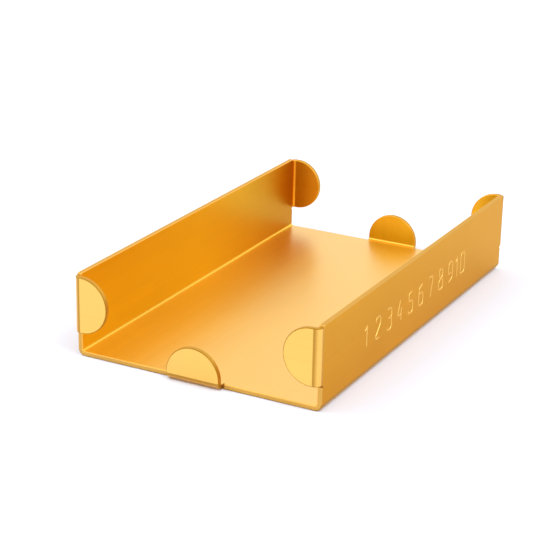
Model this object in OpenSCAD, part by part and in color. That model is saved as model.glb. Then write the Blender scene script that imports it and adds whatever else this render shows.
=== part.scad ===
// Open coin tray, folded from one sheet of aluminium.
// A flat base, two side walls bent up from it, and six D-shaped end tabs that
// stop the rolls from sliding out: one at each end of the base and one at each
// end of each wall. Every flat panel and every bend is a piece of its own.
// The origin is in the middle of the underside. X runs to the right wall,
// Y to the rear, Z up, all in millimetres.

/* [Tray] */
// Width over the outer faces of the two side walls
outer_width = 96; // [70:1:160]
// Length over the outer faces of the end tabs
outer_length = 165; // [90:1:260]
// Height of the side walls above the table
wall_height = 31; // [28:0.5:60]

/* [Sheet] */
// Thickness of the sheet
sheet_thickness = 1.8; // [1:0.1:2.5]
// Inside radius of every bend
bend_inner_radius = 0.8; // [0.4:0.1:2]
// Radius that deburring leaves along the cut edges
deburr_radius = 0.3; // [0.1:0.05:0.45]

/* [End tabs] */
// Radius of the round end of a tab, half its width
tab_radius = 10.4; // [6:0.1:11]
// Straight run between the bend and the round end
tab_straight = 0.6; // [0.2:0.1:3]
// Step from the top of a wall down to its tabs, and the radius of the wall's upper corners
tab_top_drop = 0.6; // [0.5:0.1:3]
// Width of the relief notch beside a tab's bend
relief_width = 0.7; // [0.4:0.1:1.2]
// Depth of the relief notch into the panel
relief_depth = 0.8; // [0.5:0.1:1.5]

/* [Hidden] */
$fn = 64;
sheet_gold = "#E39A22";
bend_gold = "#F2B546";
tab_gold = "#F7C964";
// Reach of a bend from the outer face that it leads to
bend_outer_radius = bend_inner_radius + sheet_thickness;
// Where the flat base ends and the side bends begin, from the middle
bend_line_x = outer_width / 2 - bend_outer_radius;
// Where the sheet ends and the tab bends begin, from the middle
sheet_end_y = outer_length / 2 - bend_outer_radius;
// Middle of the wall tabs above the table
tab_middle_z = wall_height - tab_top_drop - tab_radius;
// Overshoot of a cut past the faces that it goes through
cut_over = 1;

// Section through one cut edge of the sheet: thickness along X, sheet along Y,
// the cut end deburred on both sides
module edge_section(reach) {
    square([sheet_thickness, reach - deburr_radius]);
    translate([deburr_radius, 0])
        square([sheet_thickness - 2 * deburr_radius, reach]);
    for (x = [deburr_radius, sheet_thickness - deburr_radius])
        translate([x, reach - deburr_radius])
            circle(r = deburr_radius);
}

// Section across a strip of the sheet, both cut ends deburred
module strip_section(width) {
    edge_section(width / 2);
    mirror([0, 1])
        edge_section(width / 2);
}

// Flat strip: thickness along X, width along Y, rising along Z
module flat_strip(width, run) {
    linear_extrude(height = run)
        strip_section(width);
}

// Quarter-turn bend about Z, from the X axis round to the Y axis
module bend_strip(width) {
    rotate_extrude(angle = 90)
        translate([bend_inner_radius, 0])
            strip_section(width);
}

// Round piece of sheet in the XY plane, its rim deburred, from the X axis round
module rounded_sector(radius, turn) {
    rotate_extrude(angle = turn)
        mirror([1, -1])
            edge_section(radius);
}

// Base with a relief notch on both sides of each base tab
module base_sheet() {
    difference() {
        translate([-bend_line_x, 0, sheet_thickness])
            rotate([0, 90, 0])
                flat_strip(2 * sheet_end_y, 2 * bend_line_x);
        for (end = [-1, 1], side = [-1, 1])
            translate([side * (tab_radius + relief_width / 2), end * sheet_end_y, sheet_thickness / 2])
                cube([relief_width, 2 * relief_depth, sheet_thickness + 2 * cut_over], center = true);
    }
    // Square-ended root that carries each tab's bend
    for (end = [-1, 1])
        translate([0, end * (sheet_end_y - deburr_radius / 2), sheet_thickness / 2])
            cube([2 * tab_radius, deburr_radius, sheet_thickness], center = true);
}

// Right-hand wall, flat, with rounded upper corners
module wall_sheet() {
    corner = tab_top_drop;
    shoulder_z = wall_height - corner;
    wall_x = outer_width / 2 - sheet_thickness;
    difference() {
        translate([wall_x, 0, bend_outer_radius])
            flat_strip(2 * sheet_end_y, shoulder_z - bend_outer_radius);
        for (end = [-1, 1])
            translate([wall_x + sheet_thickness / 2, end * sheet_end_y,
                       tab_middle_z - tab_radius - relief_width / 2])
                cube([sheet_thickness + 2 * cut_over, 2 * relief_depth, relief_width], center = true);
    }
    // Upper edge between the corners
    translate([wall_x, sheet_end_y - corner, shoulder_z])
        rotate([90, 0, 0])
            linear_extrude(height = 2 * (sheet_end_y - corner))
                edge_section(corner);
    // Rounded corners
    for (end = [0, 1])
        mirror([0, end, 0])
            translate([wall_x, sheet_end_y - corner, shoulder_z])
                rotate([90, 0, 90])
                    rounded_sector(corner, 90);
    // Square-ended root that carries each tab's bend
    for (end = [-1, 1])
        translate([wall_x + sheet_thickness / 2, end * (sheet_end_y - deburr_radius / 2), tab_middle_z])
            cube([sheet_thickness, deburr_radius, 2 * tab_radius], center = true);
}

// Bend between the base and the right-hand wall
module wall_bend_sheet() {
    translate([bend_line_x, 0, bend_outer_radius])
        rotate([-90, 0, 0])
            bend_strip(2 * sheet_end_y);
}

// Bend of a tab: the panel arrives on the X side and the tab leaves on the Y side
module tab_bend_sheet() {
    bend_strip(2 * tab_radius);
}

// Flat part of a tab: a short straight run, then a half disc
module tab_sheet() {
    translate([-tab_straight, bend_inner_radius, 0])
        rotate([90, 0, 90])
            flat_strip(2 * tab_radius, tab_straight);
    translate([-tab_straight, bend_inner_radius, 0])
        rotate([-90, 90, 0])
            rounded_sector(tab_radius, 180);
}

module at_rear_of_base() {
    translate([0, sheet_end_y, bend_outer_radius])
        rotate([0, 90, 0])
            children();
}

module at_rear_of_right_wall() {
    translate([bend_line_x, sheet_end_y, tab_middle_z])
        children();
}

module to_front() {
    mirror([0, 1, 0])
        children();
}

module to_left() {
    mirror([1, 0, 0])
        children();
}

module base_panel() {
    color(sheet_gold) base_sheet();
}

module right_wall_bend() {
    color(bend_gold) wall_bend_sheet();
}

module right_wall() {
    color(sheet_gold) wall_sheet();
}

module left_wall_bend() {
    color(bend_gold) to_left() wall_bend_sheet();
}

module left_wall() {
    color(sheet_gold) to_left() wall_sheet();
}

module rear_base_tab_bend() {
    color(bend_gold) at_rear_of_base() tab_bend_sheet();
}

module rear_base_tab() {
    color(tab_gold) at_rear_of_base() tab_sheet();
}

module front_base_tab_bend() {
    color(bend_gold) to_front() at_rear_of_base() tab_bend_sheet();
}

module front_base_tab() {
    color(tab_gold) to_front() at_rear_of_base() tab_sheet();
}

module right_rear_tab_bend() {
    color(bend_gold) at_rear_of_right_wall() tab_bend_sheet();
}

module right_rear_tab() {
    color(tab_gold) at_rear_of_right_wall() tab_sheet();
}

module right_front_tab_bend() {
    color(bend_gold) to_front() at_rear_of_right_wall() tab_bend_sheet();
}

module right_front_tab() {
    color(tab_gold) to_front() at_rear_of_right_wall() tab_sheet();
}

module left_rear_tab_bend() {
    color(bend_gold) to_left() at_rear_of_right_wall() tab_bend_sheet();
}

module left_rear_tab() {
    color(tab_gold) to_left() at_rear_of_right_wall() tab_sheet();
}

module left_front_tab_bend() {
    color(bend_gold) to_left() to_front() at_rear_of_right_wall() tab_bend_sheet();
}

module left_front_tab() {
    color(tab_gold) to_left() to_front() at_rear_of_right_wall() tab_sheet();
}

base_panel();
left_wall_bend();
left_wall();
right_wall_bend();
right_wall();
front_base_tab_bend();
front_base_tab();
rear_base_tab_bend();
rear_base_tab();
left_front_tab_bend();
left_front_tab();
left_rear_tab_bend();
left_rear_tab();
right_front_tab_bend();
right_front_tab();
right_rear_tab_bend();
right_rear_tab();
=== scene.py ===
# %% [markdown]
# # A coin tray folded from one sheet
# The real object looks like a single blank of aluminium, cut to outline, deburred, folded
# on a press brake and anodised orange-gold. This lesson draws the pieces of the blank
# flat, folds them as the brake does and dresses them, and the light comes last.
# The packed model comes first, because nearly every size below is read from it.

# %% Load the frame
import math

import bmesh
import bpy
from mathutils import Matrix, Vector


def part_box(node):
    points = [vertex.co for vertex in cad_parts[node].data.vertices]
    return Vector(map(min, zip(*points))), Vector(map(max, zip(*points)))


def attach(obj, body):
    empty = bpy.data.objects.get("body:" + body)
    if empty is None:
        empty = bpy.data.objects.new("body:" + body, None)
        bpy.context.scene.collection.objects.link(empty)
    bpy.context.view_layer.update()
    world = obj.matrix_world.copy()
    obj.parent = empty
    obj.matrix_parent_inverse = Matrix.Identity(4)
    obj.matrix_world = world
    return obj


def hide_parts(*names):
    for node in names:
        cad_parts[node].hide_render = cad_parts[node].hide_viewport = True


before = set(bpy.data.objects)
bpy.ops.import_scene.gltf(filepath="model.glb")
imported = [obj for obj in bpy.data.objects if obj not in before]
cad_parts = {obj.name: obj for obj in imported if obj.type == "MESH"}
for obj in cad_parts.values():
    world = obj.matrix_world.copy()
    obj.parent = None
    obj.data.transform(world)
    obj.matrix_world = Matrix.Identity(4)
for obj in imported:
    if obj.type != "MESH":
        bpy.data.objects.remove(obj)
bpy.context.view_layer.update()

# %% [markdown]
# ## Sizes
# A folded part is fully described by a few numbers: the sheet's thickness, the bend
# radius, where the bend lines are, and the outline of the blank. Reading them from the
# frame, instead of typing them again, keeps the dressed part and the solids the same size.
# The deburring and the relief notches don't show in the box of any node, so those three
# sizes are typed, and have to be the same as in the solids.

# %% Read the sizes of the sheet and its folds


def extent(node):
    """Size of a CAD node's box along X, Y and Z."""
    low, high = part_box(node)
    return high - low


MM = 0.001
RIGHT_ANGLE = math.radians(90)
thickness = extent("base_panel").z
bend_reach = extent("left_wall_bend").x
inner_radius = bend_reach - thickness
fold_x = extent("base_panel").x / 2
sheet_end = extent("base_panel").y / 2
wall_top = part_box("left_wall")[1].z
tab_radius = extent("front_base_tab").x / 2
tab_straight = extent("front_base_tab").z - tab_radius
tab_middle_z = (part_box("left_front_tab")[0].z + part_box("left_front_tab")[1].z) / 2
wall_corner = wall_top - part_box("left_front_tab")[1].z
deburr = 0.3 * MM
notch_width = 0.7 * MM
notch_depth = 0.8 * MM
print(f"sheet {thickness / MM:.2f} mm, inside bend radius {inner_radius / MM:.2f} mm")
print(f"tab radius {tab_radius / MM:.2f} mm, wall {wall_top / MM:.2f} mm high")

# %% [markdown]
# ## Camera
# The photograph looks at the tray from the front, from the right and from above, with a
# long lens. Azimuth, elevation and a slight roll turn the camera, and the distance and
# the focal length together set how strongly the far end shrinks. They come from fitting
# the tray's corners to the photograph, which leaves the corners a few pixels out.

# %% Place the camera
SENSOR = 36.0
PHOTO_SIDE = 555
focal_pixels = 1788.7
azimuth, elevation, roll = (math.radians(a) for a in (27.51, 20.64, 1.21))
distance = 0.6743
aim = Vector((-9.1, -3.7, 12.0)) * MM


def look_from(azimuth, elevation, roll):
    """Rotation matrix of a camera that looks back along that direction, and the direction."""
    back = Vector((
        math.sin(azimuth) * math.cos(elevation),
        -math.cos(azimuth) * math.cos(elevation),
        math.sin(elevation),
    ))
    right = Vector((0, 0, 1)).cross(back).normalized()
    up = back.cross(right)
    rolled_right = right * math.cos(roll) + up * math.sin(roll)
    rolled_up = up * math.cos(roll) - right * math.sin(roll)
    return Matrix((rolled_right, rolled_up, back)).transposed(), back


camera = bpy.data.objects.new("camera", bpy.data.cameras.new("camera"))
bpy.context.scene.collection.objects.link(camera)
turn, back = look_from(azimuth, elevation, roll)
camera.matrix_world = Matrix.Translation(aim + back * distance) @ turn.to_4x4()
camera.data.sensor_width = SENSOR
camera.data.lens = focal_pixels / PHOTO_SIDE * SENSOR
bpy.context.scene.camera = camera
print(f"lens {camera.data.lens:.1f} mm at {distance} m")

# %% [markdown]
# ## Node maths that reads as Python
# Both the folds and the finish are formulas. A wire is one output socket of a node
# tree; adding or multiplying wires adds Math nodes, so a formula below looks the way it
# does on paper. Every other kind of node comes from the one method `node`.

# %% Wrap a socket


class Wire:
    """One output socket, with Python's operators standing for Math nodes."""

    def __init__(self, tree, socket=None):
        self.tree = tree
        self.socket = socket

    def node(self, kind, settings=None, sockets=None, out=0):
        """Adds a node: its settings first, then the values or wires of its sockets.

        A node that ends a tree has no output, and says so with out=None.
        """
        made = self.tree.nodes.new(kind)
        for name, value in (settings or {}).items():
            if name == "stops":
                ramp = made.color_ramp
                while len(ramp.elements) < len(value):
                    ramp.elements.new(0.5)
                for element, (place, colour) in zip(ramp.elements, value):
                    element.position = place
                    element.color = colour
            else:
                setattr(made, name, value)
        for name, value in (sockets or {}).items():
            if isinstance(value, Wire):
                self.tree.links.new(value.socket, made.inputs[name])
            else:
                made.inputs[name].default_value = value
        return Wire(self.tree, None if out is None else made.outputs[out])

    def maths(self, operation, *values):
        return self.node("ShaderNodeMath", {"operation": operation}, dict(enumerate(values)))

    def __add__(self, other):
        return self.maths("ADD", self, other)

    def __radd__(self, other):
        return self.maths("ADD", other, self)

    def __sub__(self, other):
        return self.maths("SUBTRACT", self, other)

    def __rsub__(self, other):
        return self.maths("SUBTRACT", other, self)

    def __mul__(self, other):
        return self.maths("MULTIPLY", self, other)

    def __rmul__(self, other):
        return self.maths("MULTIPLY", other, self)

    def __truediv__(self, other):
        return self.maths("DIVIDE", self, other)

    def __rtruediv__(self, other):
        return self.maths("DIVIDE", other, self)

    def least(self, other):
        return self.maths("MINIMUM", self, other)

    def most(self, other):
        return self.maths("MAXIMUM", self, other)

    def sine(self):
        return self.maths("SINE", self)

    def cosine(self):
        return self.maths("COSINE", self)

    def scaled(self, factor):
        """A vector wire times a number."""
        return self.node("ShaderNodeVectorMath", {"operation": "SCALE"}, {"Vector": self, "Scale": factor})

    def plus(self, other):
        """A vector wire plus a vector."""
        return self.node("ShaderNodeVectorMath", {"operation": "ADD"}, {0: self, 1: other})

    def stretched(self, factors):
        """A vector wire times a vector, axis by axis."""
        return self.node("ShaderNodeVectorMath", {"operation": "MULTIPLY"}, {0: self, 1: factors})

    def dot(self, other):
        """The dot product, which is a vector node's second output."""
        return self.node("ShaderNodeVectorMath", {"operation": "DOT_PRODUCT"}, {0: self, 1: other}, out=1)


print("operators with a number in front:", [name for name in vars(Wire) if name.startswith("__r")])

# %% [markdown]
# ## Trees of geometry nodes
# Two trees are built below, one for the folds and one for the stamped numbers. Both have
# named inputs, and both end in Realize Instances and Set Material, so that what they made
# is real geometry with its finish. A modifier wants a tree's input by the identifier of
# its socket, and when the piece is done, the evaluated result replaces the drawn mesh.

# %% Open, close and run a tree


def open_tree(name, inputs):
    """New Geometry Nodes tree, and a wire from each of its named inputs."""
    tree = bpy.data.node_groups.new(name, "GeometryNodeTree")
    for label, kind in inputs.items():
        tree.interface.new_socket(label, in_out="INPUT", socket_type="NodeSocket" + kind)
    tree.interface.new_socket("Geometry", in_out="OUTPUT", socket_type="NodeSocketGeometry")
    sockets = tree.nodes.new("NodeGroupInput").outputs
    return tree, {socket.name: Wire(tree, socket) for socket in sockets if socket.name}


def close_tree(geometry, finish):
    """Makes the geometry real, sets its finish and sends it out of the tree."""
    real = geometry.node("GeometryNodeRealizeInstances", sockets={"Geometry": geometry})
    finished = real.node("GeometryNodeSetMaterial", sockets={"Geometry": real, "Material": finish})
    finished.node("NodeGroupOutput", sockets={"Geometry": finished}, out=None)


def run_tree(piece, name, tree, values):
    """Adds a tree to a piece as a modifier, with values for its named inputs."""
    modifier = piece.modifiers.new(name, "NODES")
    modifier.node_group = tree
    for item in tree.interface.items_tree:
        if item.in_out == "INPUT" and item.name in values:
            modifier[item.identifier] = values[item.name]


def make_real(piece):
    """Replaces a piece's mesh by what its modifiers make of it, and removes them."""
    graph = bpy.context.evaluated_depsgraph_get()
    result = bpy.data.meshes.new_from_object(piece.evaluated_get(graph), depsgraph=graph)
    piece.modifiers.clear()
    drawn = piece.data
    piece.data = result
    bpy.data.meshes.remove(drawn)
    result.name = piece.name


print("tree helpers ready")

# %% [markdown]
# ## The fold
# A press brake leaves the sheet flat up to the bend line, wraps the next stretch round
# its punch, and turns all the rest through the bend angle. One formula says all three:
# with s the way past the line and h the height above the outer face, a point keeps
# min(s, 0), goes round by its clamped share of the angle at radius (reach - h), and then
# runs on straight by what is left of s. Bend allowance is taken at mid-thickness.
# A Geometry Nodes tree holds the formula, so that one tree makes every fold.

# %% Build the fold as a node tree
bend_allowance = RIGHT_ANGLE * (inner_radius + thickness / 2)


def build_fold_tree():
    """Geometry Nodes tree that folds what lies past a line up by an angle."""
    tree, given = open_tree("press_brake_fold", {
        "Geometry": "Geometry", "Towards": "Vector", "Fold line": "Float", "Bend reach": "Float",
        "Bend allowance": "Float", "Angle": "Float", "Finish": "Material",
    })
    start = Wire(tree)
    place = start.node("GeometryNodeInputPosition")
    height = start.node("ShaderNodeSeparateXYZ", sockets={0: place}, out="Z")
    along = place.dot(given["Towards"])

    past = along - given["Fold line"]
    turned = (past / given["Bend allowance"]).most(0.0).least(1.0) * given["Angle"]
    straight = (past - given["Bend allowance"]).most(0.0)
    radius = given["Bend reach"] - height
    new_along = given["Fold line"] + past.least(0.0) + radius * turned.sine() + straight * turned.cosine()
    new_height = given["Bend reach"] - radius * turned.cosine() + straight * turned.sine()

    sideways = given["Towards"].scaled(new_along - along)
    upwards = start.node("ShaderNodeCombineXYZ", sockets={"Z": new_height - height})
    folded = start.node(
        "GeometryNodeSetPosition",
        sockets={"Geometry": given["Geometry"], "Offset": sideways.plus(upwards)},
    )
    close_tree(folded, given["Finish"])
    return tree


fold_tree = build_fold_tree()
print("fold tree nodes:", len(fold_tree.nodes), "bend allowance", round(bend_allowance / MM, 2), "mm")

# %% [markdown]
# ## Flat pieces of the blank
# Each piece starts as an outline on the flat blank, with X across and Y along the tray.
# Its edges are of three kinds: `cut` edges are deburred, `notch` edges are the sharp
# sides of a relief notch, and `joint` edges are bend lines where the next piece goes on.
# The flat place of every point is kept as a UV map, so the grain of the sheet later runs
# on through the folds. A bend is cut into slices, so that it can go round.

# %% Make a plate from an outline
DEBURR_STEPS = 3
BEND_SLICES = 24
SAME_PLACE = 1e-7
# A face whose normal rises more than this is flat, and less than this upright
FLAT_RISE = 0.999
UPRIGHT_RISE = 0.05
# Strength of the painted shade at a bend line, and the share of the bend over which it fades by 1
PAINTED_SHADE_AT_START = (1.2, 0.2)
PAINTED_SHADE_AT_END = (1.45, 0.32)


def plate(name, outline, slices=None):
    """Closed plate from (x, y, kind) points; kind says what the edge to the next point is."""
    mesh = bpy.data.meshes.new(name)
    bm = bmesh.new()
    lower = [bm.verts.new((x, y, 0)) for x, y, kind in outline]
    upper = [bm.verts.new((x, y, thickness)) for x, y, kind in outline]
    bm.faces.new(upper)
    bm.faces.new(lower[::-1])
    rims = []
    for i, (x, y, kind) in enumerate(outline):
        j = (i + 1) % len(outline)
        bm.faces.new((lower[i], lower[j], upper[j], upper[i]))
        if kind == "cut":
            rims += [bm.edges.get((lower[i], lower[j])), bm.edges.get((upper[i], upper[j]))]
    bm.normal_update()
    bmesh.ops.bevel(
        bm, geom=rims, offset=deburr, offset_type="OFFSET", segments=DEBURR_STEPS, profile=0.5,
        affect="EDGES", clamp_overlap=False,
    )
    keep_flat_place(bm)
    if slices is not None:
        slice_across(bm, *slices)
    bm.to_mesh(mesh)
    bm.free()
    piece = bpy.data.objects.new(name, mesh)
    bpy.context.scene.collection.objects.link(piece)
    return piece


def slice_across(bm, towards, start, length):
    """Cuts a strip into slices that can go round a bend, and paints shade along both its bend lines."""
    for step in range(1, BEND_SLICES):
        bmesh.ops.bisect_plane(
            bm, geom=bm.verts[:] + bm.edges[:] + bm.faces[:], dist=SAME_PLACE,
            plane_co=towards * (start + length * step / BEND_SLICES), plane_no=towards,
        )
    # Painted shade: the outer side is darker in bands along both bend lines
    bend_shade = bm.verts.layers.float.new("tool_mark")
    for vert in bm.verts:
        share = (vert.co.dot(towards) - start) / length
        at_start = PAINTED_SHADE_AT_START[0] - share / PAINTED_SHADE_AT_START[1]
        at_end = PAINTED_SHADE_AT_END[0] - (1.0 - share) / PAINTED_SHADE_AT_END[1]
        vert[bend_shade] = min(1.0, max(0.0, at_start, at_end))


def keep_flat_place(bm):
    """Stores each point's place on the blank, and which faces are edge, rim or outer side."""
    bm.normal_update()
    uv = bm.loops.layers.uv.new("blank")
    edge = bm.faces.layers.float.new("cut_edge")
    rim = bm.faces.layers.float.new("deburred_rim")
    outer = bm.faces.layers.float.new("outer_side")
    for face in bm.faces:
        rise = face.normal.z
        face[edge] = 0.0 if abs(rise) > FLAT_RISE else 1.0
        face[rim] = 1.0 if UPRIGHT_RISE < abs(rise) < FLAT_RISE else 0.0
        face[outer] = 1.0 if rise < -UPRIGHT_RISE else 0.0
        for loop in face.loops:
            loop[uv].uv = (loop.vert.co.x, loop.vert.co.y)


def arc(centre, radius, start, stop, steps):
    """Points on an arc with a cut edge after each, angles in degrees."""
    turns = [math.radians(start + (stop - start) * i / steps) for i in range(steps + 1)]
    return [(centre[0] + radius * math.cos(a), centre[1] + radius * math.sin(a), "cut") for a in turns]


print("kinds of edge: cut, notch, joint")

# %% [markdown]
# ## Outlines
# Five outlines are enough. The tray is the same left and right and front and rear, so a
# wall, the bend below it, a tab and the bend before it are each drawn once, at the right
# or the rear, and mirrored on the blank, with the points put back in order so that faces
# point outwards. The base is whole, with its front drawn as its rear turned half round.

# %% Draw the outlines of the blank
CORNER_STEPS = 6
ROUND_END_STEPS = 64
wall_start = fold_x + bend_allowance
wall_end = wall_start + wall_top - bend_reach
wall_tab_middle = wall_start + tab_middle_z - bend_reach
tab_start = sheet_end + bend_allowance
blank_width = 2 * wall_end
blank_length = 2 * (tab_start + tab_straight + tab_radius)


def mirrored(outline, flip_x=False, flip_y=False):
    """The outline on the other side of the blank, still running counter-clockwise."""
    sx, sy = (-1 if flip_x else 1), (-1 if flip_y else 1)
    if flip_x == flip_y:
        return [(x * sx, y * sy, kind) for x, y, kind in outline]
    kinds = [kind for x, y, kind in outline]
    points = [(x * sx, y * sy) for x, y, kind in outline][::-1]
    kinds = kinds[-2::-1] + kinds[-1:]
    return [(x, y, kind) for (x, y), kind in zip(points, kinds)]


def base_outline():
    """Rectangle with relief notches on both sides of the two tabs."""
    edge, floor = sheet_end, sheet_end - notch_depth
    inner, outer = tab_radius, tab_radius + notch_width
    rear = [
        (fold_x, edge, "cut"), (outer, edge, "notch"), (outer, floor, "notch"), (inner, floor, "notch"),
        (inner, edge, "joint"), (-inner, edge, "notch"), (-inner, floor, "notch"), (-outer, floor, "notch"),
        (-outer, edge, "cut"), (-fold_x, edge, "joint"),
    ]
    front = [(-x, -y, kind) for x, y, kind in rear]
    return rear + front


def wall_outline():
    """Right-hand wall: bend line, notch, tab root and rounded corner at each end."""
    edge, floor = sheet_end, sheet_end - notch_depth
    root, notch = wall_tab_middle - tab_radius, wall_tab_middle - tab_radius - notch_width
    corner_x, corner_y = wall_end - wall_corner, sheet_end - wall_corner
    front = [
        (wall_start, -edge, "cut"), (notch, -edge, "notch"), (notch, -floor, "notch"),
        (root, -floor, "notch"), (root, -edge, "joint"),
    ]
    rear = [
        (root, edge, "notch"), (root, floor, "notch"), (notch, floor, "notch"),
        (notch, edge, "cut"), (wall_start, edge, "joint"),
    ]
    front_corner = arc((corner_x, -corner_y), wall_corner, -90, 0, CORNER_STEPS)
    rear_corner = arc((corner_x, corner_y), wall_corner, 0, 90, CORNER_STEPS)
    rear_corner[-1] = rear_corner[-1][:2] + ("joint",)
    return front + front_corner + rear_corner + rear


def wall_bend_outline():
    """Strip between the base and the right-hand wall."""
    return [
        (fold_x, -sheet_end, "cut"), (wall_start, -sheet_end, "joint"),
        (wall_start, sheet_end, "cut"), (fold_x, sheet_end, "joint"),
    ]


def tab_bend_outline(middle):
    """Strip between a panel's rear end and its tab."""
    low, high = middle - tab_radius, middle + tab_radius
    return [
        (low, sheet_end, "joint"), (high, sheet_end, "cut"),
        (high, tab_start, "joint"), (low, tab_start, "cut"),
    ]


def tab_outline(middle):
    """Straight sides out of the bend, then half a disc."""
    low, high = middle - tab_radius, middle + tab_radius
    round_end = arc((middle, tab_start + tab_straight), tab_radius, 0, 180, ROUND_END_STEPS)
    return [(low, tab_start, "joint"), (high, tab_start, "cut")] + round_end


print("blank is", round(blank_width / MM, 1), "by", round(blank_length / MM, 1), "mm")

# %% [markdown]
# ## The anodised finish
# Anodising is a clear oxide film, dyed in its pores, over satin aluminium. It is metal
# seen through a tint, so the shader is metallic with an orange-gold base colour, and a
# thin coat stands for the sealed surface of the film. A fine grain and long faint
# streaks, both along the tray, and a slow cloudiness keep it from looking like plastic.
# All three are read from the place on the blank, so they run on over every fold.
#
# One sheet would have one finish, but the plain room below gives the metal less to
# reflect than the photograph shows. So the colours stand in for some reflections: each
# group of pieces has its own for the inner side, the outer side and the sheared edge,
# the walls go deeper towards the rear, and the rear tabs go lighter towards the tip.
# Darker lines of painted shade follow the bend lines and the rims of the base and the tabs,
# on the outer side. The inner rims get a painted highlight, and the stamped grooves a painted
# glint. All of it was tuned to look like the photograph. It isn't known of the real sheet.

# %% Write the finish
# Colours that several pieces share
# Painted glint: the stamped grooves are paler than the wall round them
GROOVE_PAINTED_GLINT = (0.86, 0.52, 0.13)
# Colour of the painted shade on the outer side
PAINTED_SHADE_COLOUR = (0.36, 0.165, 0.008)
PLATE_EDGE = (0.68, 0.38, 0.08)
TAB_EDGE = (0.62, 0.33, 0.04)
# Colour of the metal's reflection at a grazing angle
CLEAR = (1.0, 1.0, 1.0)
TINTED = (1.0, 0.92, 0.72)
# Noise runs from 0 to 1 about this middle
NOISE_MIDDLE = 0.5
# Noise features per metre across and along the sheet, and the detail in them
GRAIN = (6000.0, 300.0, 3.0)
STREAKS = (700.0, 9.0, 2.0)
CLOUDS = (28.0, 16.0, 3.0)
# How much each thing changes the colour
CLOUD_DEPTH, STREAK_DEPTH = 0.18, 0.10
# Painted highlight: the deburred rims on the inner side are lighter
INNER_RIM_PAINTED_HIGHLIGHT = 0.30
# Painted shade along the bend lines, on the outer side
BEND_PAINTED_SHADE = 0.75
# Painted shade on the outer rims of the base and the tabs
RIM_PAINTED_SHADE = 0.8
# How much each thing changes the roughness
STREAK_ROUGHNESS, GRAIN_ROUGHNESS, EDGE_ROUGHNESS = 0.06, 0.04, 0.15
# Relief of the grain and the streaks, and the surface of the film
GRAIN_SHARE, STREAK_SHARE = 0.7, 0.3
RELIEF_STRENGTH, RELIEF_DEPTH = 0.03, 0.02 * MM
COAT_ROUGHNESS, COAT_IOR = 0.3, 1.5
# Places of the two colours and of the result on a Mix node that is set to colours
FIRST_COLOUR, SECOND_COLOUR, MIXED_COLOUR = 6, 7, 2


def anodised(name, inside, outside, sheared, roughness, coat, grazing=CLEAR, change=None, rim_painted_shade=RIM_PAINTED_SHADE):
    """Satin anodised sheet with colours for its inner side, its outer side and its sheared edge.

    A change is where along the blank the inner side starts and ends to go over to a third colour.
    """
    material = bpy.data.materials.new(name)
    material.use_nodes = True
    tree = material.node_tree
    tree.nodes.clear()
    start = Wire(tree)
    blank = start.node("ShaderNodeUVMap", {"uv_map": "blank"})
    rearwards = start.node("ShaderNodeSeparateXYZ", {}, {0: blank}, out="Y")
    change_from, change_to, changed = change or (0.0, 1.0, inside)

    def noise(across, along, detail):
        place = blank.stretched((across, along, 0.0))
        return start.node("ShaderNodeTexNoise", {}, {"Vector": place, "Scale": 1.0, "Detail": detail})

    def attribute(name):
        return start.node("ShaderNodeAttribute", {"attribute_name": name}, out="Fac")

    def mixed(share, first, second):
        """Colour that goes from the first to the second."""
        sockets = {"Factor": share}
        for place, colour in ((FIRST_COLOUR, first), (SECOND_COLOUR, second)):
            sockets[place] = colour if isinstance(colour, Wire) else colour + (1.0,)
        return start.node("ShaderNodeMix", {"data_type": "RGBA"}, sockets, MIXED_COLOUR)

    grain, streaks, clouds = noise(*GRAIN), noise(*STREAKS), noise(*CLOUDS)
    edge, rim, outer = attribute("cut_edge"), attribute("deburred_rim"), attribute("outer_side")
    bend_shade, stamped = attribute("tool_mark"), attribute("stamped")
    near_rear = start.node(
        "ShaderNodeMapRange", {"interpolation_type": "SMOOTHSTEP"},
        {"Value": rearwards, "From Min": change_from, "From Max": change_to},
    )
    # Painted reflection: each group's inner and outer sides in their own colours, the inner side changing
    # along the blank
    faces = mixed(outer, mixed(near_rear, inside, changed), outside)
    # Painted glint: the stamped grooves take a paler colour
    side = mixed(stamped, mixed(edge, faces, sheared), GROOVE_PAINTED_GLINT)
    # Painted shade: dark bands along the bends and dark lines on the outer rims
    outer_painted_shade = (bend_shade * BEND_PAINTED_SHADE).most(rim * rim_painted_shade) * outer
    with_painted_shade = mixed(outer_painted_shade, side, PAINTED_SHADE_COLOUR)
    unevenness = (clouds - NOISE_MIDDLE) * CLOUD_DEPTH + (streaks - NOISE_MIDDLE) * STREAK_DEPTH
    rough = (
        roughness + (streaks - NOISE_MIDDLE) * STREAK_ROUGHNESS
        + (grain - NOISE_MIDDLE) * GRAIN_ROUGHNESS + edge * EDGE_ROUGHNESS
    )
    relief = start.node("ShaderNodeBump", {}, {
        "Height": grain * GRAIN_SHARE + streaks * STREAK_SHARE,
        "Strength": RELIEF_STRENGTH, "Distance": RELIEF_DEPTH,
    })
    surface = start.node("ShaderNodeBsdfPrincipled", {}, {
        # Painted highlight on the inner rims, and uneven tone from the clouds and streaks
        "Base Color": with_painted_shade.scaled(1.0 + unevenness + rim * (1.0 - outer) * INNER_RIM_PAINTED_HIGHLIGHT),
        "Metallic": 1.0, "Roughness": rough, "Normal": relief, "Specular Tint": grazing + (1.0,),
        "Coat Weight": (1.0 - edge) * coat, "Coat Roughness": COAT_ROUGHNESS, "Coat IOR": COAT_IOR,
    })
    surface.node("ShaderNodeOutputMaterial", {}, {"Surface": surface}, out=None)
    return material


# Painted reflection: the walls' inner side goes deeper towards the rear, the rear tabs' inner side lighter
# towards the tip
towards_rear = (-5 * MM, sheet_end, (0.56, 0.215, 0.003))
towards_tip = (tab_start, tab_start + tab_radius, (0.90, 0.62, 0.06))
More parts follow.
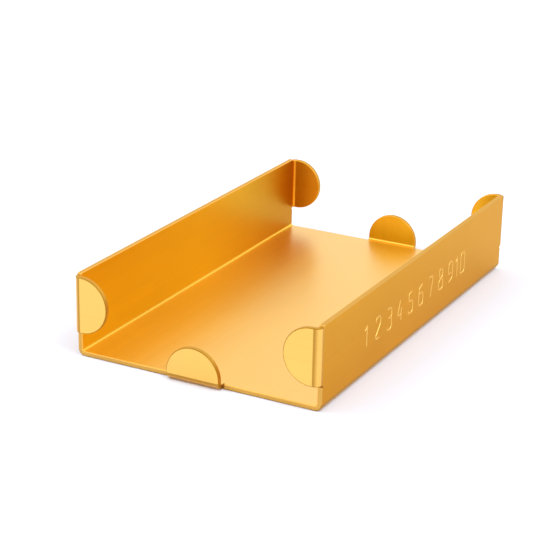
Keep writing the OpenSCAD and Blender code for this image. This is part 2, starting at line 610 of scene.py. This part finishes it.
# Lit and shaded copies of one anodised finish; their colours are painted reflection
base_finish = anodised(
    "anodised_base", (0.92, 0.53, 0.07), (0.74, 0.36, 0.02), PLATE_EDGE, roughness=0.36, coat=0.75,
)
wall_finish = anodised(
    "anodised_wall", (0.84, 0.47, 0.010), (0.66, 0.288, 0.010), PLATE_EDGE, roughness=0.36, coat=0.0,
    grazing=TINTED, change=towards_rear, rim_painted_shade=0.0,
)
tab_finish = anodised(
    "anodised_tab", (0.84, 0.44, 0.03), (0.93, 0.52, 0.09), TAB_EDGE, roughness=0.34, coat=0.8,
)
rear_tab_finish = anodised(
    "anodised_rear_tab", (0.63, 0.38, 0.012), (0.70, 0.34, 0.02), TAB_EDGE, roughness=0.38, coat=0.1,
    grazing=TINTED, change=towards_tip,
)
wall_bend_finish = anodised(
    "anodised_wall_bend", (0.95, 0.60, 0.07), (0.70, 0.32, 0.015), PLATE_EDGE, roughness=0.34, coat=0.1,
    grazing=TINTED,
)
tab_bend_finish = anodised(
    "anodised_tab_bend", (0.86, 0.50, 0.06), (0.92, 0.50, 0.11), TAB_EDGE, roughness=0.34, coat=0.1,
)
print("finishes:", [m.name for m in bpy.data.materials if m.name.startswith("anodised")])

# %% [markdown]
# ## Fold and settle
# A flat piece goes through the press brake once or twice: a wall tab is folded off its
# wall first, while that still lies flat, and then comes up with it. Afterwards the
# evaluated result is taken as a plain mesh, so that nothing live is left on it, and its
# normals are weighted by area, which keeps the flats flat right up to their soft edges.

# %% Fold a piece and hand it to the frame
RIGHT, LEFT = Vector((1, 0, 0)), Vector((-1, 0, 0))
REAR, FRONT = Vector((0, 1, 0)), Vector((0, -1, 0))
SHARP_EDGE = math.radians(40)
AREA_WEIGHT = 100


def press(piece, towards, line, finish):
    """Adds one fold of the press brake to a piece."""
    run_tree(piece, "fold", fold_tree, {
        "Towards": towards, "Fold line": line, "Bend reach": bend_reach,
        "Bend allowance": bend_allowance, "Angle": RIGHT_ANGLE, "Finish": finish,
    })


def settle(piece):
    """Makes a piece's folds real, with clean normals."""
    for polygon in piece.data.polygons:
        polygon.use_smooth = True
    piece.data.set_sharp_from_angle(angle=SHARP_EDGE)
    weighted = piece.modifiers.new("normals", "WEIGHTED_NORMAL")
    weighted.keep_sharp = True
    weighted.weight = AREA_WEIGHT
    make_real(piece)


def finish_piece(node, outline, folds, finish, slices=None, work=None):
    """Makes one node's piece from its outline, folds it and lets it stand for the node."""
    piece = plate(node + "_finished", outline, slices)
    if work is not None:
        work(piece)
    piece.data.materials.append(finish)
    for towards, line in folds:
        press(piece, towards, line, finish)
    settle(piece)
    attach(piece, "root")
    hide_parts(node)


print("press brake ready")

# %% [markdown]
# ## Plain numbers on the right wall
# The outer side of the right wall carries a plain scale from 1 to 10. A stamped stroke is
# the path of a small round-nosed tool, so each digit is written as the corners of its
# path, in half widths across and quarter heights up. A Geometry Nodes tree rounds the
# corners and sweeps the round tool along, and the swept tool is taken out of the wall
# while that still lies flat, which keeps the numbers square to the sheet. A few digits
# are several strokes, because a rounded corner needs a blunt angle.

# %% Cut the numbers into the flat wall
DIGITS = {
    "0": [[(0, 0), (2, 0), (2, 4), (0, 4), (0, 0)]],
    "1": [[(1, 4), (1, 0)], [(0.2, 3.2), (1, 4)]],
    "2": [[(0, 3.2), (0, 4), (2, 4), (2, 2.6), (0, 0.6), (0, 0), (2, 0)]],
    "3": [[(0, 4), (2, 4), (2, 2.2), (0.7, 2.2)], [(1.2, 2.2), (2, 2.2), (2, 0), (0, 0), (0, 0.6)]],
    "4": [[(1.0, 4), (0, 1.6), (0, 1.2), (2.2, 1.2)], [(1.5, 2.4), (1.5, 0)]],
    "5": [[(2, 4), (0.1, 4), (0.1, 2.3), (2, 2.3), (2, 0), (0, 0), (0, 0.6)]],
    "6": [[(1.7, 4), (0, 3.4), (0, 0), (2, 0), (2, 2.3), (0.2, 2.3)]],
    "7": [[(0, 4), (2, 4), (0.7, 0)]],
    "8": [[(0.2, 4), (1.8, 4), (1.8, 2.6), (0, 1.7), (0, 0), (2, 0), (2, 1.7), (0.2, 2.6), (0.2, 3.98)]],
    "9": [[(0.3, 0), (2, 0.6), (2, 4), (0, 4), (0, 1.7), (1.8, 1.7)]],
}
NUMBERS = [str(n) for n in range(1, 11)]
HALF_WIDTHS, QUARTER_HEIGHTS = 2, 4
digit_width, digit_height, digit_gap = 3.8 * MM, 8.0 * MM, 1.6 * MM
tool_radius, tool_lift, corner_rounding = 0.36 * MM, 0.08 * MM, 1.2 * MM
TOOL_SIDES, ROUNDING_POINTS = 12, 5
# First and last number's middle along the wall, and the foot of the numbers above the table
numbers_from, numbers_to, numbers_low = -46.0 * MM, 37.0 * MM, 11.3 * MM
# The stamped field stays this far inside the wall, and a face higher than this is a groove
field_margin, groove_lift = 2 * MM, 0.001 * MM


def build_stamp_tree():
    """Geometry Nodes tree that sweeps a round-nosed tool along the strokes it is given."""
    tree, given = open_tree("stamped_strokes", {
        "Geometry": "Geometry", "Tool radius": "Float", "Corner rounding": "Float", "Finish": "Material",
    })
    start = Wire(tree)
    paths = start.node("GeometryNodeMeshToCurve", sockets={"Mesh": given["Geometry"]})
    rounded = start.node("GeometryNodeFilletCurve", {"mode": "POLY"}, {
        "Curve": paths, "Radius": given["Corner rounding"], "Limit Radius": True,
        "Count": ROUNDING_POINTS,
    })
    nose = start.node(
        "GeometryNodeCurvePrimitiveCircle",
        sockets={"Resolution": TOOL_SIDES, "Radius": given["Tool radius"]},
    )
    swept = start.node(
        "GeometryNodeCurveToMesh", sockets={"Curve": rounded, "Profile Curve": nose, "Fill Caps": True},
    )
    close_tree(swept, given["Finish"])
    return tree


def number_strokes():
    """Every stroke of the scale as a chain of points on the flat wall."""
    pitch = (numbers_to - numbers_from) / (len(NUMBERS) - 1)
    low = wall_start + numbers_low - bend_reach
    chains = []
    for i, number in enumerate(NUMBERS):
        width = len(number) * (digit_width + digit_gap) - digit_gap
        left = numbers_from + i * pitch - width / 2
        for k, digit in enumerate(number):
            from_left = left + k * (digit_width + digit_gap)
            for stroke in DIGITS[digit]:
                chains.append([
                    (low + up * digit_height / QUARTER_HEIGHTS,
                     from_left + across * digit_width / HALF_WIDTHS, -tool_lift)
                    for across, up in stroke
                ])
    return chains


def number_tool():
    """The strokes as a chain of edges, swept to a solid tool by the stamp tree."""
    points, edges = [], []
    for chain in number_strokes():
        first = len(points)
        points += chain
        edges += [(first + i, first + i + 1) for i in range(len(chain) - 1)]
    mesh = bpy.data.meshes.new("number_strokes")
    mesh.from_pydata(points, edges, [])
    tool = bpy.data.objects.new("number_tool", mesh)
    bpy.context.scene.collection.objects.link(tool)
    run_tree(tool, "sweep", build_stamp_tree(), {
        "Tool radius": tool_radius, "Corner rounding": corner_rounding, "Finish": wall_finish,
    })
    return tool


def mark_grooves(mesh):
    """Tells the grooves from the outer side around them, and keeps the place on the blank."""
    mesh.attributes.new("stamped", "FLOAT", "FACE")
    stamped, outer = mesh.attributes["stamped"].data, mesh.attributes["outer_side"].data
    edge, rim = mesh.attributes["cut_edge"].data, mesh.attributes["deburred_rim"].data
    blank = mesh.uv_layers["blank"].data
    grooves = 0
    for polygon in mesh.polygons:
        x, y, z = polygon.center
        in_wall = wall_start + field_margin < x < wall_end - field_margin
        in_field = in_wall and abs(y) < sheet_end - field_margin and z < thickness / 2
        if in_field:
            is_groove = z > groove_lift
            stamped[polygon.index].value = float(is_groove)
            outer[polygon.index].value = 1.0
            edge[polygon.index].value = 0.0
            rim[polygon.index].value = 0.0
            grooves += is_groove
        for corner in polygon.loop_indices:
            blank[corner].uv = mesh.vertices[mesh.loops[corner].vertex_index].co.xy
    return grooves


def stamp_numbers(piece):
    """Takes the swept tool out of the flat piece."""
    tool = number_tool()
    cut = piece.modifiers.new("stamp", "BOOLEAN")
    cut.object = tool
    cut.operation = "DIFFERENCE"
    cut.solver = "EXACT"
    cut.use_self = True
    make_real(piece)
    bpy.data.objects.remove(tool)
    print("numbers:", " ".join(NUMBERS), "groove faces:", mark_grooves(piece.data))


# %% [markdown]
# ## Make the tray
# The base stays flat. Each wall and its bend take one fold; each base tab takes one;
# each wall tab takes two. Loops over the two sides and the two ends make the sixteen
# pieces round the base, and each piece stands for the CAD node of the same name. The
# right wall is stamped on the way, while it is still flat.

# %% Make every piece
ENDS = (("front", FRONT, tab_finish), ("rear", REAR, rear_tab_finish))


def finish_tab(stem, end, middle, flip=False, wall_folds=()):
    """Makes a tab and the bend before it, at one end of the base or of a wall."""
    place, onwards, finish = end
    at_front = place == "front"
    folds = [(onwards, sheet_end), *wall_folds]
    finish_piece(
        f"{stem}_tab_bend", mirrored(tab_bend_outline(middle), flip, at_front), folds,
        tab_bend_finish, slices=(onwards, sheet_end, bend_allowance),
    )
    finish_piece(
        f"{stem}_tab", mirrored(tab_outline(middle), flip, at_front), folds, finish,
    )


finish_piece("base_panel", base_outline(), [], base_finish)

for side, towards in (("left", LEFT), ("right", RIGHT)):
    flip = side == "left"
    wall_fold = (towards, fold_x)
    finish_piece(
        f"{side}_wall_bend", mirrored(wall_bend_outline(), flip), [wall_fold],
        wall_bend_finish, slices=(towards, fold_x, bend_allowance),
    )
    finish_piece(
        f"{side}_wall", mirrored(wall_outline(), flip), [wall_fold], wall_finish,
        work=None if flip else stamp_numbers,
    )
    for end in ENDS:
        finish_tab(f"{side}_{end[0]}", end, wall_tab_middle, flip, [wall_fold])

for end in ENDS:
    finish_tab(f"{end[0]}_base", end, 0.0)

# %% [markdown]
# ## Floor and light
# The photograph has a white floor, white surroundings, and a shadow so light that it is
# almost lost. Metal shows what is round it, so the surroundings matter more than the
# lamps. An even white room does most of the work. It is dimmer overhead, because a tray
# seen from above mirrors the ceiling and would bleach. One soft lamp stands at the right,
# where the floor along the outer wall has to stay white, and a smaller one at the left.
# Both are low, for the same reason, and both and the floor are a touch cool, against the
# orange that the wall throws on the floor.

# %% Build the stage
FLOOR_HALF, FLOOR_DROP = 2.0, 0.03 * MM
FLOOR_COLOUR = (0.78, 0.81, 0.89, 1.0)
FLOOR_ROUGHNESS, FLOOR_SPECULAR = 0.9, 0.1
LAMP_COLOUR = (0.86, 0.93, 1.0)
# Azimuth and elevation in degrees, distance and size in metres, power in watts
RIGHT_LAMP = (80.0, 48.0, 1.2, 1.0, 7.0)
LEFT_LAMP = (-70.0, 45.0, 0.8, 0.5, 2.2)
# Grey of the room by elevation in degrees
ROOM = [(0, 0.9), (25, 1.0), (60, 1.0), (90, 0.7)]
ROOM_STRENGTH = 1.15


def plain_floor():
    """Matt white floor a hair below the tray."""
    mesh = bpy.data.meshes.new("floor")
    corners = [(-1, -1), (1, -1), (1, 1), (-1, 1)]
    mesh.from_pydata([(x * FLOOR_HALF, y * FLOOR_HALF, -FLOOR_DROP) for x, y in corners], [], [(0, 1, 2, 3)])
    floor = bpy.data.objects.new("floor", mesh)
    bpy.context.scene.collection.objects.link(floor)
    paper = bpy.data.materials.new("white_paper")
    paper.use_nodes = True
    shader = paper.node_tree.nodes["Principled BSDF"]
    shader.inputs["Base Color"].default_value = FLOOR_COLOUR
    shader.inputs["Roughness"].default_value = FLOOR_ROUGHNESS
    shader.inputs["Specular IOR Level"].default_value = FLOOR_SPECULAR
    mesh.materials.append(paper)


def soft_lamp(name, azimuth, elevation, distance, size, power):
    """Square area lamp that looks at the tray."""
    light = bpy.data.lights.new(name, "AREA")
    light.shape = "SQUARE"
    light.size = size
    light.energy = power
    light.color = LAMP_COLOUR
    lamp = bpy.data.objects.new(name, light)
    bpy.context.scene.collection.objects.link(lamp)
    turn, back = look_from(math.radians(azimuth), math.radians(elevation), 0.0)
    lamp.matrix_world = Matrix.Translation(back * distance) @ turn.to_4x4()


def white_surroundings():
    """Even white room, dimmer overhead and a little at the floor."""
    world = bpy.data.worlds.new("white_surroundings")
    world.use_nodes = True
    tree = world.node_tree
    tree.nodes.clear()
    start = Wire(tree)
    direction = start.node("ShaderNodeTexCoord", out="Generated")
    height = start.node("ShaderNodeSeparateXYZ", {}, {0: direction}, out="Z")
    stops = [(math.sin(math.radians(angle)), (grey, grey, grey, 1.0)) for angle, grey in ROOM]
    shade = start.node("ShaderNodeValToRGB", {"stops": stops}, {"Fac": height})
    light = start.node("ShaderNodeBackground", {}, {"Color": shade, "Strength": ROOM_STRENGTH})
    light.node("ShaderNodeOutputWorld", {}, {"Surface": light}, out=None)
    bpy.context.scene.world = world


plain_floor()
white_surroundings()
soft_lamp("right_lamp", *RIGHT_LAMP)
soft_lamp("left_lamp", *LEFT_LAMP)
bpy.context.scene.view_settings.view_transform = "Standard"
print("lamps:", [light.name for light in bpy.data.lights])

# %% [markdown]
# ## Size
# The dressed tray has to be as large as the solids and stand in the same place.
